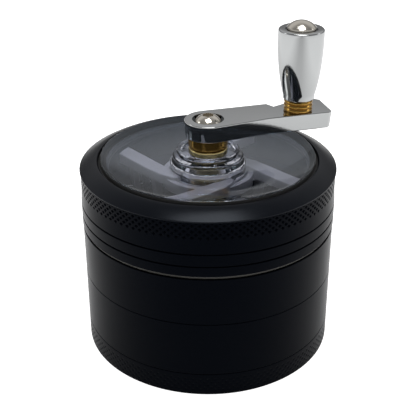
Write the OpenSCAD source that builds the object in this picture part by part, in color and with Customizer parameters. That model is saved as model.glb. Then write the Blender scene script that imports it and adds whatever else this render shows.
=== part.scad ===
// Hand-cranked herb and spice grinder: tray, sifting chamber, grinding chamber, and a lid whose
// clear window carries a crank with a spinning knob above and a swirl rotor below.
// Millimetres, +Z up, origin at the centre of the base. The crank turns about the Z axis.

/* [Stack] */
// Outer diameter of the lid
lid_d = 63; // [62.6:0.2:65]
// Height of the bottom tray
tray_h = 6.35; // [6.3:0.05:8]
// Height of the sifting chamber
sifter_h = 14.1; // [13.6:0.1:18]
// Height of the grinding chamber
grinder_h = 12.1; // [12:0.1:14]
// Height of the lid's outer side
lid_h = 14.6; // [14.4:0.1:15.4]
// Open line between two stacked pieces
seam = 0.2; // [0.1:0.05:0.3]

/* [Lid] */
// Height of the bezel's inner edge above its outer edge
bezel_rise = 1.8; // [1.4:0.1:2]
// Radius of the opening in the bezel
reveal_r = 27; // [26.9:0.05:27.1]
// Heights of the two turned grooves above the lid's lower edge
groove_heights = [3.2, 6.3];
// Depth of each groove
groove_depth = 0.45; // [0.2:0.05:0.6]

/* [Window] */
// Radius of the clear disc
window_r = 26.3; // [26:0.05:26.5]
// Thickness of the clear disc
window_t = 2.8; // [2.6:0.1:3]
// How far the middle of the disc is dished
window_dish = 1.9; // [1.6:0.1:1.9]
// Height of the disc's rim above the lid's outer edge
window_rise = 2.35; // [2.3:0.05:2.5]

/* [Crank] */
// Distance between the crank's axis and the knob's axis
throw = 23; // [21:0.1:24]
// Direction that the arm points in, in degrees from +X
arm_angle = 15.5; // [0:0.5:359.5]
// Thickness of the arm
arm_t = 4.25; // [4:0.05:5]
// Radius of the arm's hub
hub_r = 5.75; // [5.5:0.05:6.5]
// Height of the arm's top face
arm_top = 58.55; // [58:0.05:60]
// Radius of the spindle
spindle_r = 3; // [2.9:0.05:3.1]

/* [Knob] */
// Radius of the knob at its neck
knob_neck_r = 3.9; // [3.7:0.05:4.2]
// Radius of the knob at its top
knob_top_r = 5.55; // [5.2:0.05:6]
// Length of the knob
knob_h = 17.35; // [15:0.05:20]
// Height of the brass collar under the knob
collar_h = 3; // [2:0.1:4]

/* [Rotor] */
// Number of arms
rotor_arms = 4; // [3:1:5]
// Width of an arm
rotor_arm_w = 4.5; // [4:0.1:4.8]
// Distance between the axis and an arm's middle line
rotor_offset = 10.05; // [9.4:0.05:10.2]
// Radii of the two rings of rotor teeth
rotor_rings = [13.1, 20.4];

/* [Fits] */
// Radial clearance of a part that spins on a shaft
run_gap = 0.05; // [0.02:0.01:0.08]
// Radial clearance between a screwed skirt's ridges and its bore
thread_gap = 0.25; // [0.2:0.05:0.3]

/* [Hidden] */
$fn = 96;
eps = 0.02;

// Levels of the seams, from the base up
sifter_z = tray_h;
grinder_z = sifter_z + sifter_h;
lid_z = grinder_z + grinder_h;
bezel_z = lid_z + lid_h;

// Radii that the stacked pieces share
lid_r = lid_d / 2;
body_r = lid_r - 0.1;
edge = 0.3;
bore_r = 28.25;
skirt_r = bore_r - thread_gap;
skirt_t = 1.5;
skirt_h = 3.3;
ridge_h = 0.3;
ridge_pitch = 1;

// Chamber floors and teeth
tray_floor = 1.6;
floor_t = 2.9;
chamber_r = 26.2;
grinder_floor = grinder_z + 1.15 + floor_t;
tooth_r = 1.5;
fixed_tooth_h = 9;
fixed_rings = [[8.6, 4], [16.5, 8], [24.2, 12]];
drop_rings = [[12.6, 8], [20.4, 16]];
drop_r = 1.9;
slip_z = grinder_floor + 3.7;
slip_t = 0.6;

// Window, its flange and the ring that holds it
window_z = bezel_z + window_rise;
lip_z = bezel_z - 0.5;
lid_bore_r = 28;
flange_r = 27.7;
flange_t = 1.3;
retainer_t = 0.75;
boss_r = 7.8;
boss_foot_r = 9.3;
boss_z = window_z + 1.4;
boss_base_z = window_z - 6.5;
bush_r = 4.5;
bush_flange_r = 5.2;
bush_top_z = boss_z + 0.55;

// Crank levels
arm_z = arm_top - arm_t;
spacer_z = bush_top_z + 0.15;
screw_seat_z = arm_top - 1.65;
tap_r = 1.5;
stub_r = 2.4;

// Rotor levels
hub_top_z = boss_base_z - 0.45;
hub_h = 3.95;
hub_z = hub_top_z - hub_h;
rotor_top_z = window_z - 5.5;
rotor_arm_t = 3;
rotor_hub_r = 11.4;
rotor_tip_r = 24.4;
rotor_arm_angle = 130.2;
rotor_stub_r = 2.5;

// Knob levels
axle_r = 2;
collar_top_z = arm_top + collar_h;
knob_z = collar_top_z + 0.1;
knob_top_z = knob_z + knob_h;
knob_sink = 1;
knob_pos = throw * [cos(arm_angle), sin(arm_angle)];

// A ring, or a disc where r_in is 0, between two levels
module ring(r_out, r_in, z0, z1) {
    translate([0, 0, z0])
        difference() {
            cylinder(h = z1 - z0, r = r_out);
            if (r_in > 0)
                translate([0, 0, -1]) cylinder(h = z1 - z0 + 2, r = r_in);
        }
}

module revolve(points) {
    rotate_extrude() polygon(points);
}

// A low dome of radius r on a short cylinder, its rim at z0 and its crown at z1
module dome_head(r, z0, z1, side_h) {
    rise = z1 - z0 - side_h;
    ball_r = (r * r + rise * rise) / (2 * rise);
    intersection() {
        translate([0, 0, z1 - ball_r]) sphere(ball_r);
        translate([0, 0, z0]) cylinder(h = z1 - z0, r = r);
    }
}

// Outline of a screwed skirt's outer side, from its lower edge z0 up to z1
function ridged_side(z0, z1) = concat(
    [[skirt_r - ridge_h, z0]],
    [for (z = [z0 + 0.5 : ridge_pitch : z1 - ridge_pitch], p = [[0, 0], [1, 0.3], [1, 0.4], [0, 0.7]])
        [skirt_r - ridge_h + p[0] * ridge_h, z + p[1] * ridge_pitch]],
    [[skirt_r - ridge_h, z1]]);

// A diamond tooth between two levels, pointing along its radius
module tooth(r, angle, z0, z1) {
    rotate([0, 0, angle])
        translate([r, 0, z0])
            cylinder(h = z1 - z0, r = tooth_r, $fn = 4);
}

module kief_tray() {
    color([0.04, 0.04, 0.045])
        revolve(concat(
            [[0, 0], [body_r - edge, 0], [body_r, edge], [body_r, tray_h - seam - edge]],
            [[body_r - edge, tray_h - seam], [bore_r, tray_h - seam], [bore_r, tray_floor + 1.2]],
            [[bore_r - 1.2, tray_floor], [0, tray_floor]]));
}

module sifter_chamber() {
    ledge_z = sifter_z + 0.55;
    color([0.04, 0.04, 0.045])
        revolve(concat(
            [[skirt_r - skirt_t, sifter_z - skirt_h + 0.2]],
            ridged_side(sifter_z - skirt_h + 0.2, sifter_z),
            [[body_r - edge, sifter_z], [body_r, sifter_z + edge], [body_r, grinder_z - seam - edge]],
            [[body_r - edge, grinder_z - seam], [bore_r, grinder_z - seam]],
            [[bore_r, grinder_z - skirt_h - 1.2], [bore_r - 1.2, grinder_z - skirt_h - 2.4]],
            [[bore_r - 1.2, ledge_z + 1.4], [25.2, ledge_z + 1.2], [25.2, ledge_z]],
            [[skirt_r - skirt_t, ledge_z]]));
}

module sifter_screen() {
    color([0.75, 0.75, 0.77])
        ring(skirt_r - skirt_t, 0, sifter_z + 0.25, sifter_z + 0.55);
}

module screen_ring() {
    color([0.7, 0.7, 0.72])
        ring(skirt_r - skirt_t, 25, sifter_z - 0.75, sifter_z + 0.25);
}

// Wall and screwed skirt of the grinding chamber, whose floor and teeth are the next two modules
module grinding_chamber() {
    color([0.04, 0.04, 0.045])
        revolve(concat(
            [[skirt_r - skirt_t, grinder_z - skirt_h]],
            ridged_side(grinder_z - skirt_h, grinder_z),
            [[body_r - edge, grinder_z], [body_r, grinder_z + edge], [body_r, lid_z - seam - edge]],
            [[body_r - edge, lid_z - seam], [lid_bore_r, lid_z - seam], [lid_bore_r, slip_z]],
            [[chamber_r, slip_z], [chamber_r, grinder_z + 1.15], [skirt_r - skirt_t, grinder_z + 1.15]]));
}

module grinding_floor() {
    color([0.04, 0.04, 0.045])
        difference() {
            ring(chamber_r, 0, grinder_z + 1.15, grinder_floor);
            for (row = drop_rings, i = [0 : row[1] - 1])
                rotate([0, 0, (i + 0.5) * 360 / row[1]])
                    translate([row[0], 0, grinder_z])
                        cylinder(h = 2 * floor_t, r = drop_r, $fn = 24);
        }
}

module grinding_teeth() {
    color([0.04, 0.04, 0.045])
        for (row = fixed_rings, i = [0 : row[1] - 1])
            tooth(row[0], (i + 0.5) * 360 / row[1], grinder_floor, grinder_floor + fixed_tooth_h);
}

module slip_ring() {
    color([0.9, 0.9, 0.88])
        ring(lid_bore_r - 0.1, 26.4, slip_z, slip_z + slip_t);
}

// Points of one V groove cut into the lid's side at height z
function groove(z) = [[lid_r, z - 0.3], [lid_r - groove_depth, z], [lid_r, z + 0.3]];

module lid_ring() {
    spigot_z = slip_z + slip_t + 0.2;
    spigot_in = 26.2;
    retainer_z = lip_z - flange_t - 0.1;
    color([0.04, 0.04, 0.045])
        revolve(concat(
            [[spigot_in, spigot_z], [lid_bore_r - 0.35, spigot_z], [lid_bore_r - 0.35, lid_z]],
            [[lid_r - 0.5, lid_z], [lid_r, lid_z + 1]],
            groove(lid_z + groove_heights[0]), groove(lid_z + groove_heights[1]),
            [[lid_r, bezel_z - edge], [lid_r - edge, bezel_z]],
            [[reveal_r + edge, bezel_z + bezel_rise], [reveal_r, bezel_z + bezel_rise - edge]],
            [[reveal_r, lip_z], [lid_bore_r, lip_z], [lid_bore_r, retainer_z], [lid_bore_r + 0.5, retainer_z]],
            [[lid_bore_r + 0.5, retainer_z - retainer_t], [lid_bore_r, retainer_z - retainer_t]],
            [[lid_bore_r, lid_z + 3], [spigot_in, lid_z + 1.2]]));
}

// Height of the dished window's upper face at radius r
function dish_z(r) = window_z - window_dish * (1 - pow(r / window_r, 2));

module window() {
    flange_z = lip_z - 0.05;
    color([0.75, 0.75, 0.85, 0.4])
        revolve(concat(
            [[bush_r, boss_base_z], [boss_foot_r, boss_base_z]],
            [for (r = [boss_foot_r : 2 : window_r - 0.9]) [r, dish_z(r) - window_t]],
            [[window_r - 0.9, flange_z - flange_t], [flange_r, flange_z - flange_t], [flange_r, flange_z]],
            [[window_r, flange_z], [window_r, window_z - 0.25], [window_r - 0.25, window_z]],
            [for (r = [window_r - 2 : -2 : boss_foot_r + 1.2]) [r, dish_z(r)]],
            [[boss_foot_r + 0.3, dish_z(boss_foot_r) + 0.3], [boss_r + 0.2, boss_z - 2.6]],
            [[boss_r + 0.9, boss_z - 2.2], [boss_r + 0.9, boss_z - 1.4], [boss_r - 0.4, boss_z - 1.1]],
            [[boss_r - 0.4, boss_z - 0.7], [boss_r, boss_z - 0.5], [boss_r, boss_z]],
            [[bush_flange_r, boss_z], [bush_flange_r, boss_z - 0.9], [bush_r, boss_z - 0.9]]));
}

module window_seal() {
    color([0.05, 0.05, 0.05])
        ring(reveal_r, window_r, lip_z, bezel_z + bezel_rise - 0.7);
}

module window_retainer() {
    top_z = lip_z - flange_t - 0.1;
    color([0.6, 0.6, 0.62])
        difference() {
            ring(lid_bore_r + 0.5, 25, top_z - retainer_t, top_z);
            translate([0, 26, top_z]) cube([8, 8, 4], center = true);
        }
}

module bearing_bush() {
    color([0.72, 0.53, 0.2])
        difference() {
            union() {
                ring(bush_r, 0, boss_base_z, boss_z - 0.5);
                ring(bush_flange_r, 0, boss_z - 0.9, bush_top_z);
            }
            translate([0, 0, boss_base_z - 1]) cylinder(h = 12, r = spindle_r + run_gap);
        }
}

// A point on the rim of the arm's hub
function hub_edge(angle) = hub_r * [cos(angle), sin(angle)];

// Outline of the arm seen from above, with the knob's axis on +X: straight in front, and behind
// it a notch sets the wider end apart
module arm_outline() {
    front = -3.65;
    tip = throw + 7.9;
    circle(hub_r);
    polygon([
        hub_edge(-80), [throw - 8.6, front - 0.1], [tip - 0.8, front], [tip, front + 0.8],
        [tip, 5.2], [tip - 1.3, 6.4], [throw - 1.6, 5.2], [throw - 5, 3.8], [throw - 6.2, 6],
        hub_edge(90)
    ]);
}

module crank_arm() {
    color([0.75, 0.76, 0.78])
        difference() {
            rotate([0, 0, arm_angle])
                translate([0, 0, arm_z])
                    linear_extrude(arm_t) arm_outline();
            translate([0, 0, arm_z - 1]) cylinder(h = arm_t, r = stub_r);
            translate([0, 0, screw_seat_z]) cylinder(h = 4, r = 3.85);
            translate([knob_pos.x, knob_pos.y, arm_z - 1]) cylinder(h = arm_t + 2, r = axle_r);
        }
}

module crank_screw() {
    head_top_z = arm_top + 1.35;
    color([0.8, 0.78, 0.74]) {
        difference() {
            dome_head(3.25, screw_seat_z, head_top_z, 0.5);
            translate([0, 0, head_top_z - 1.4]) cylinder(h = 3, r = 1.45, $fn = 6);
        }
        ring(tap_r, 0, boss_z - 1, screw_seat_z + eps);
    }
}

module crank_spacer() {
    r = 4.87;
    color([0.72, 0.53, 0.2])
        revolve([
            [spindle_r, spacer_z], [r - 0.3, spacer_z], [r, spacer_z + 0.3],
            [r, arm_z - 0.1], [r - 0.1, arm_z], [spindle_r, arm_z]
        ]);
}

module spindle() {
    color([0.62, 0.62, 0.64])
        difference() {
            union() {
                ring(rotor_stub_r, 0, hub_z + 0.4, hub_top_z + eps);
                ring(spindle_r, 0, hub_top_z, arm_z);
                ring(stub_r, 0, arm_z - eps, screw_seat_z - 0.4);
            }
            ring(tap_r, 0, boss_z - 1.5, arm_top);
            ring(tap_r, 0, hub_z, hub_top_z + 2.4);
        }
}

module thrust_washer() {
    color([0.85, 0.85, 0.85])
        ring(5.5, spindle_r, hub_top_z, hub_top_z + 0.3);
}

// Angle at which an arm's middle line is at radius r
function arm_bearing(r) = rotor_arm_angle + asin(rotor_offset / r);

// An arm that leaves the hub like a tangent and ends on the circle of the tips
module arm_blade() {
    near = rotor_offset - rotor_arm_w / 2;
    far = rotor_offset + rotor_arm_w / 2;
    rotate([0, 0, rotor_arm_angle])
        linear_extrude(rotor_arm_t)
            polygon(concat(
                [[0, near]],
                [for (i = [0 : 6]) let (y = near + rotor_arm_w * i / 6) [sqrt(pow(rotor_tip_r, 2) - y * y), y]],
                [[9.3, far - 0.2], [4.6, far - 0.55], [1.4, far - 1.6], [0, far - 2.1]]));
}

module rotor() {
    arm_z0 = rotor_top_z - rotor_arm_t;
    color([0.72, 0.72, 0.74])
        difference() {
            union() {
                ring(rotor_hub_r, 0, hub_z, arm_z0 + eps);
                for (k = [0 : rotor_arms - 1])
                    rotate([0, 0, k * 360 / rotor_arms])
                        translate([0, 0, arm_z0]) arm_blade();
                ring(rotor_hub_r, boss_foot_r + 0.5, hub_z, arm_z0 + 2);
                ring(boss_foot_r - 0.5, 0, hub_z, hub_top_z);
            }
            translate([0, 0, hub_z - 1]) cylinder(h = hub_h + 2, r = rotor_stub_r);
            translate([0, 0, hub_top_z]) cylinder(h = 5, r = boss_foot_r + 0.5);
        }
}

// Teeth under the rotor's arms. The inner ones stand outside the hub.
module rotor_teeth() {
    color([0.72, 0.72, 0.74])
        for (k = [0 : rotor_arms - 1], r = rotor_rings)
            tooth(r, k * 360 / rotor_arms + arm_bearing(r), grinder_floor + 1.4, rotor_top_z - rotor_arm_t);
}

module rotor_washer() {
    color([0.8, 0.8, 0.8])
        ring(4.2, tap_r, hub_z - 0.5, hub_z);
}

module rotor_screw() {
    head_z = hub_z - 0.5;
    color([0.8, 0.78, 0.74]) {
        difference() {
            ring(3.3, 0, head_z - 1.9, head_z);
            translate([0, 0, head_z - 3]) cylinder(h = 2.3, r = 1.45, $fn = 6);
        }
        ring(tap_r, 0, head_z - eps, hub_top_z + 1.9);
    }
}

module at_knob() {
    translate([knob_pos.x, knob_pos.y, 0]) children();
}

module knob_collar() {
    r = 3.55;
    step = collar_h / 3;
    color([0.72, 0.53, 0.2])
        at_knob()
            revolve(concat(
                [[axle_r, arm_top]],
                [for (i = [0 : 2], p = [[0.25, 0], [0, 0.25], [0, 0.75], [0.25, 1]])
                    [r - p[0], arm_top + (i + p[1]) * step]],
                [[axle_r, collar_top_z]]));
}

module knob_screw() {
    seat_z = knob_top_z - knob_sink + 0.5;
    color([0.8, 0.78, 0.74])
        at_knob() {
            dome_head(3.5, seat_z, knob_top_z + 2, 0.5);
            ring(axle_r, 0, arm_z + 0.2, seat_z + eps);
        }
}

module knob_washer() {
    floor_z = knob_top_z - knob_sink;
    color([0.8, 0.8, 0.8])
        at_knob() ring(3.6, axle_r, floor_z + 0.15, floor_z + 0.5);
}

// Radius of the knob at a fraction t of the way from its neck to its top
function knob_r(t) = knob_neck_r + (knob_top_r - knob_neck_r) * (1 - pow(1 - t, 2.5));

module knob_handle() {
    neck_z = knob_z + 1;
    swell_h = knob_top_z - 0.4 - neck_z;
    steps = 14;
    color([0.78, 0.79, 0.8])
        at_knob()
            revolve(concat(
                [[axle_r + 1, knob_z], [knob_neck_r - 0.3, knob_z], [knob_neck_r, knob_z + 0.3]],
                [for (i = [0 : steps]) [knob_r(i / steps), neck_z + i / steps * swell_h]],
                [[knob_top_r - 0.1, knob_top_z - 0.15], [knob_top_r - 0.4, knob_top_z]],
                [[3.85, knob_top_z], [3.85, knob_top_z - knob_sink], [axle_r + 1, knob_top_z - knob_sink]]));
}

module knob_sleeve() {
    color([0.9, 0.9, 0.88])
        at_knob() ring(axle_r + 1, axle_r + run_gap, knob_z + 0.2, knob_top_z - knob_sink - 0.1);
}

kief_tray();
sifter_chamber();
sifter_screen();
screen_ring();
grinding_chamber();
grinding_floor();
grinding_teeth();
slip_ring();
lid_ring();
window();
window_seal();
window_retainer();
bearing_bush();
crank_arm();
crank_screw();
crank_spacer();
spindle();
thrust_washer();
rotor();
rotor_teeth();
rotor_washer();
rotor_screw();
knob_collar();
knob_screw();
knob_washer();
knob_handle();
knob_sleeve();
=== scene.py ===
"""The looks of a hand-cranked herb grinder, laid out as an add-on and run as a script around its frame."""

import math

import bmesh
import bpy
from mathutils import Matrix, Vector


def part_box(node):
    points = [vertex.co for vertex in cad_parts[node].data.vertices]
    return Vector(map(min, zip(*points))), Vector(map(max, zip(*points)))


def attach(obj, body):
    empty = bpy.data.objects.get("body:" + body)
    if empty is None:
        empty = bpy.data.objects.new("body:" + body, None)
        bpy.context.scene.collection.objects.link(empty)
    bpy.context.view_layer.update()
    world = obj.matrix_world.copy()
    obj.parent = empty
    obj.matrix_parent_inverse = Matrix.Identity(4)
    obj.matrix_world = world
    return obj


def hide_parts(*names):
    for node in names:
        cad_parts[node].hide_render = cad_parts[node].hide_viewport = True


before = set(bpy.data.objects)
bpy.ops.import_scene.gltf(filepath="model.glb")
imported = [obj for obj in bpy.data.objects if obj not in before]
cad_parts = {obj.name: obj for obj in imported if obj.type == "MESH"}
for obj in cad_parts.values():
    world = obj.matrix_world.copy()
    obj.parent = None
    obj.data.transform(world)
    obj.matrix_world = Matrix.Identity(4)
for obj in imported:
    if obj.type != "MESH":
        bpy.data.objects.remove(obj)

bl_info = {
    "name": "Herb Grinder",
    "version": (1, 0, 0),
    "blender": (4, 5, 0),
    "location": "View3D > Sidebar > Grinder",
    "description": "Builds the detailed pieces and finishes of a hand-cranked herb grinder",
    "category": "Add Mesh",
}

MM = 0.001

# Measures that several pieces share, in millimetres.
WALL = 3.15  # a chamber's wall beside its threaded bore
SKIRT_GAP = 0.55  # between a bore and the screwed skirt in it
SEAM_GAP = 0.06  # between two stacked chambers
SEAM_EDGE = 0.1  # chamfer along a seam
THREAD_RISE = 0.28  # height of a thread's ridge
SPIGOT_BORE = 26.2  # inner radius of the lid's spigot and of the grinding chamber
HEAD_SINK = 1.65  # depth of the pocket for the hub screw's head


def corners(node):
    """Lowest and highest corner of a CAD node, in millimetres."""
    low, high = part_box(node)
    return low / MM, high / MM


def top(node):
    return corners(node)[1].z


def foot(node):
    return corners(node)[0].z


def reach(node):
    """Radius of a CAD node that is round about Z."""
    return corners(node)[1].x


def knob_axis():
    """Where the knob's axis meets the ground, in millimetres."""
    low, high = corners("knob_handle")
    return Vector(((low.x + high.x) / 2, (low.y + high.y) / 2, 0))


ARM_ANGLE = math.atan2(knob_axis().y, knob_axis().x)
THROW = knob_axis().length


def length_property(name, description, millimetres):
    return bpy.props.FloatProperty(
        name=name, description=description, default=millimetres * MM, min=0, unit="LENGTH"
    )


class GrinderSizes(bpy.types.PropertyGroup):
    """Sizes of the details that the frame leaves plain."""

    turn_steps: bpy.props.IntProperty(
        name="Turning steps", description="Sides of a turned shape", default=112, min=48, max=224
    )
    knurl_rows: bpy.props.IntProperty(
        name="Knurl rows", description="Rows of the lid's knurl grid", default=3, min=1, max=6
    )
    knurl_height: length_property("Knurl height", "Height of the lid's knurled band", 4.6)
    knurl_land: length_property("Knurl land", "Land left around a knurl pit", 0.2)
    knurl_depth: length_property("Knurl depth", "Depth of a knurl pit", 0.34)
    edge_round: length_property("Edge rounding", "Rounding of a turned edge", 0.18)
    thread_pitch: length_property("Thread pitch", "Pitch of the screwed skirts", 1)
    screen_pitch: length_property("Screen pitch", "Distance between the sieve's wires", 0.7)


def colour_property(name, description, default):
    return bpy.props.FloatVectorProperty(
        name=name, description=description, default=default, size=3, subtype="COLOR", min=0, max=1
    )


class GrinderColours(bpy.types.PropertyGroup):
    """Base colours of the finishes."""

    anodised: colour_property("Anodised black", "Dyed aluminium", (0.0005, 0.0008, 0.0017))
    chrome: colour_property("Chrome", "Plated arm and knob", (0.46, 0.47, 0.47))
    nickel: colour_property("Nickel", "Polished screw heads", (0.66, 0.62, 0.55))
    brass: colour_property("Brass", "Bush and collars", (0.36, 0.21, 0.05))
    alloy: colour_property("Alloy", "Cast rotor", (0.33, 0.325, 0.32))
    acrylic: colour_property("Acrylic", "Clear window", (0.84, 0.865, 0.955))


class GrinderStage(bpy.types.PropertyGroup):
    """Camera and light."""

    camera_distance: length_property("Camera distance", "From the camera to its aim", 227.3)
    camera_tilt: bpy.props.FloatProperty(
        name="Camera tilt", description="How far the camera looks down", default=math.radians(27.35),
        subtype="ANGLE",
    )
    camera_aim: length_property("Aim height", "Height of the camera's aim on the axis", 34.34)
    camera_lens: bpy.props.FloatProperty(
        name="Lens", description="Focal length in millimetres on a 36 mm sensor", default=77.7, min=10
    )
    softbox_power: bpy.props.FloatProperty(
        name="Softbox power", description="Power of the overhead light", default=1.1, unit="POWER"
    )


# ---------------------------------------------------------------- mesh tools


def start(name, add, **where):
    """Adds a primitive with nothing else selected, and opens it in edit mode, all selected."""
    if bpy.context.object and bpy.context.object.mode != "OBJECT":
        bpy.ops.object.mode_set(mode="OBJECT")
    bpy.ops.object.select_all(action="DESELECT")
    add(**where)
    piece = bpy.context.object
    piece.name = name
    piece.data.name = name
    bpy.ops.object.mode_set(mode="EDIT")
    bpy.ops.mesh.select_mode(type="VERT")
    bpy.ops.mesh.select_all(action="SELECT")
    return piece


def pick(piece, mode, test):
    """Selects the vertices, edges or faces of the open mesh that pass the test, and nothing else."""
    bpy.ops.mesh.select_all(action="DESELECT")
    bpy.ops.mesh.select_mode(type=mode)
    mesh = bmesh.from_edit_mesh(piece.data)
    found = {"VERT": mesh.verts, "EDGE": mesh.edges, "FACE": mesh.faces}[mode]
    for element in found:
        if test(element):
            element.select = True
    mesh.select_flush_mode()
    bmesh.update_edit_mesh(piece.data)


def close_up(piece):
    """Merges what spinning or joining left double, turns all faces outwards and leaves edit mode."""
    bpy.ops.mesh.select_mode(type="VERT")
    bpy.ops.mesh.select_all(action="SELECT")
    bpy.ops.mesh.remove_doubles(threshold=MM / 500)
    bpy.ops.mesh.normals_make_consistent(inside=False)
    bpy.ops.object.mode_set(mode="OBJECT")
    return piece


def select_only(piece):
    """Makes one piece the active one, with nothing else selected."""
    bpy.ops.object.select_all(action="DESELECT")
    bpy.context.view_layer.objects.active = piece
    piece.select_set(True)


def settle(piece):
    """Puts the place, turn and size of a piece into its mesh."""
    select_only(piece)
    bpy.ops.object.transform_apply(location=True, rotation=True, scale=True)
    return piece


def apply(piece, kind, **settings):
    """Adds a modifier and applies it."""
    select_only(piece)
    modifier = piece.modifiers.new(kind.lower(), kind)
    for key, value in settings.items():
        setattr(modifier, key, value)
    bpy.ops.object.modifier_apply(modifier=modifier.name)
    return piece


def soften(piece, width, segments=2, angle=30):
    """Rounds the edges that are sharper than the angle, given in degrees."""
    return apply(
        piece, "BEVEL", width=width, segments=segments, limit_method="ANGLE",
        angle_limit=math.radians(angle), harden_normals=False, use_clamp_overlap=True,
    )


def cut(piece, cutter):
    """Cuts one solid with another, which is then gone."""
    apply(piece, "BOOLEAN", object=cutter, operation="DIFFERENCE", solver="EXACT")
    bpy.data.objects.remove(cutter)
    return piece


def join(name, pieces):
    """Makes several finished meshes one piece."""
    bpy.ops.object.select_all(action="DESELECT")
    for piece in pieces:
        piece.select_set(True)
    bpy.context.view_layer.objects.active = pieces[0]
    if len(pieces) > 1:
        bpy.ops.object.join()
    pieces[0].name = name
    pieces[0].data.name = name
    return pieces[0]


def copy_turned(piece, angle, centre=(0, 0, 0), flip=False):
    """A copy with its own mesh, turned about Z, after it was turned over where flip is set."""
    select_only(piece)
    bpy.ops.object.duplicate()
    copy = bpy.context.object
    copy.rotation_euler = (math.pi if flip else 0, 0, angle)
    copy.location = Vector(centre)
    return settle(copy)


def turn(piece, angle):
    """Turns the mesh of a piece about Z."""
    piece.rotation_euler = (0, 0, angle)
    return settle(piece)


def move(piece, offset):
    """Moves the mesh of a piece, with the offset in millimetres."""
    piece.location = Vector(offset) * MM
    return settle(piece)


def trace(points, close):
    """Turns the open plane into a chain of edges through the points, given in metres."""
    bpy.ops.mesh.merge(type="CENTER")
    bpy.ops.transform.translate(value=points[0])
    for here, there in zip(points, points[1:]):
        bpy.ops.mesh.extrude_vertices_move(TRANSFORM_OT_translate={"value": there - here})
    if close:
        ends = (points[0], points[-1])
        near = MM / 500
        pick(bpy.context.object, "VERT", lambda v: min((v.co - end).length for end in ends) < near)
        bpy.ops.mesh.edge_face_add()
    bpy.ops.mesh.select_all(action="SELECT")


def lathe(name, outline, steps=None):
    """A solid turned about Z from an outline of radius and height in millimetres. An outline that
    starts and ends on the axis is left open there."""
    steps = steps or bpy.context.scene.grinder_sizes.turn_steps
    piece = start(name, bpy.ops.mesh.primitive_plane_add, size=MM)
    points = [Vector((r, 0, z)) * MM for r, z in outline]
    trace(points, close=not (outline[0][0] == 0 and outline[-1][0] == 0))
    bpy.ops.mesh.spin(steps=steps, angle=math.tau, center=(0, 0, 0), axis=(0, 0, 1))
    return close_up(piece)


def prism(name, outline, low, high):
    """A flat outline of X and Y in millimetres, drawn up from one height to another."""
    piece = start(name, bpy.ops.mesh.primitive_plane_add, size=MM)
    trace([Vector((x, y, low)) * MM for x, y in outline], close=True)
    bpy.ops.mesh.edge_face_add()
    lift = {"value": (0, 0, (high - low) * MM)}
    bpy.ops.mesh.extrude_region_move(TRANSFORM_OT_translate=lift)
    return close_up(piece)


def rod(name, radius, low, high, sides, at=(0, 0)):
    """A plain rod, to cut a hole with or to shape further."""
    bpy.ops.object.select_all(action="DESELECT")
    middle = Vector((at[0], at[1], (low + high) / 2)) * MM
    bpy.ops.mesh.primitive_cylinder_add(
        vertices=sides, radius=radius * MM, depth=(high - low) * MM, location=middle
    )
    piece = bpy.context.object
    piece.name = name
    return settle(piece)


def arc(centre, radius, start_angle, end_angle, steps):
    """Points of a circular arc, angles in degrees."""
    angles = [math.radians(start_angle + (end_angle - start_angle) * i / steps) for i in range(steps + 1)]
    return [(centre[0] + radius * math.cos(a), centre[1] + radius * math.sin(a)) for a in angles]


def polish(piece, angle=35):
    """Smooths the shading of all but the sharp edges, and keeps wide faces flat."""
    select_only(piece)
    bpy.ops.object.shade_smooth_by_angle(angle=math.radians(angle))
    apply(piece, "WEIGHTED_NORMAL", keep_sharp=True, weight=80)


def hand_over(piece, body, slot, finish, *nodes):
    """Gives a finished piece its finish and its body, and hides the CAD nodes that it stands for."""
    piece.data.materials.clear()
    piece.data.materials.append(finish)
    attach(piece, body)
    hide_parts(*nodes)


def coat(piece, finish, test):
    """Gives the faces whose middle, in millimetres, passes the test a second finish."""
    select_only(piece)
    piece.data.materials.append(finish)
    bpy.ops.object.mode_set(mode="EDIT")
    pick(piece, "FACE", lambda face: test(face.calc_center_median() / MM))
    piece.active_material_index = len(piece.data.materials) - 1
    bpy.ops.object.material_slot_assign()
    bpy.ops.object.mode_set(mode="OBJECT")


def dress(node, finish):
    """Gives a CAD node that keeps its own mesh a finish."""
    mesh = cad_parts[node].data
    mesh.materials.clear()
    mesh.materials.append(finish)


def knurl(piece, low, high, radius, land, depth):
    """Cuts a diamond knurl of pits into a turned side that has a grid of faces between two heights."""
    near = 0.02
    skin = radius - 0.4

    def in_band(face):
        middle = face.calc_center_median() / MM
        return low < middle.z < high and middle.xy.length > skin

    def on_grid(edge):
        a, b = (v.co / MM for v in edge.verts)
        level = abs(a.z - b.z) < near
        upright = (a.xy - b.xy).length < near
        inside = low + near < (a.z + b.z) / 2 < high - near
        return inside and (level or upright) and min(a.xy.length, b.xy.length) > skin

    select_only(piece)
    bpy.ops.object.mode_set(mode="EDIT")
    pick(piece, "FACE", in_band)
    bpy.ops.mesh.poke()
    pick(piece, "EDGE", on_grid)
    bpy.ops.mesh.dissolve_edges(use_verts=False, use_face_split=False)
    pick(piece, "FACE", lambda face: in_band(face) and len(face.verts) == 4)
    bpy.ops.mesh.inset(thickness=land, use_individual=True, use_even_offset=True)
    bpy.ops.mesh.poke(offset=-depth)
    bpy.ops.object.mode_set(mode="OBJECT")
    return piece


def band_levels(low, high, rows):
    """Heights that split a band into rows."""
    return [low + (high - low) * i / rows for i in range(rows + 1)]


# ---------------------------------------------------------------- finishes


def new_group(name, inputs, outputs):
    """An empty shader node group with named number or vector inputs and outputs."""
    group = bpy.data.node_groups.new(name, "ShaderNodeTree")
    for label, kind, default in inputs:
        socket = group.interface.new_socket(label, in_out="INPUT", socket_type=kind)
        if default is not None:
            socket.default_value = default
    for label, kind in outputs:
        group.interface.new_socket(label, in_out="OUTPUT", socket_type=kind)
    return group, group.nodes.new("NodeGroupInput"), group.nodes.new("NodeGroupOutput")


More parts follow.
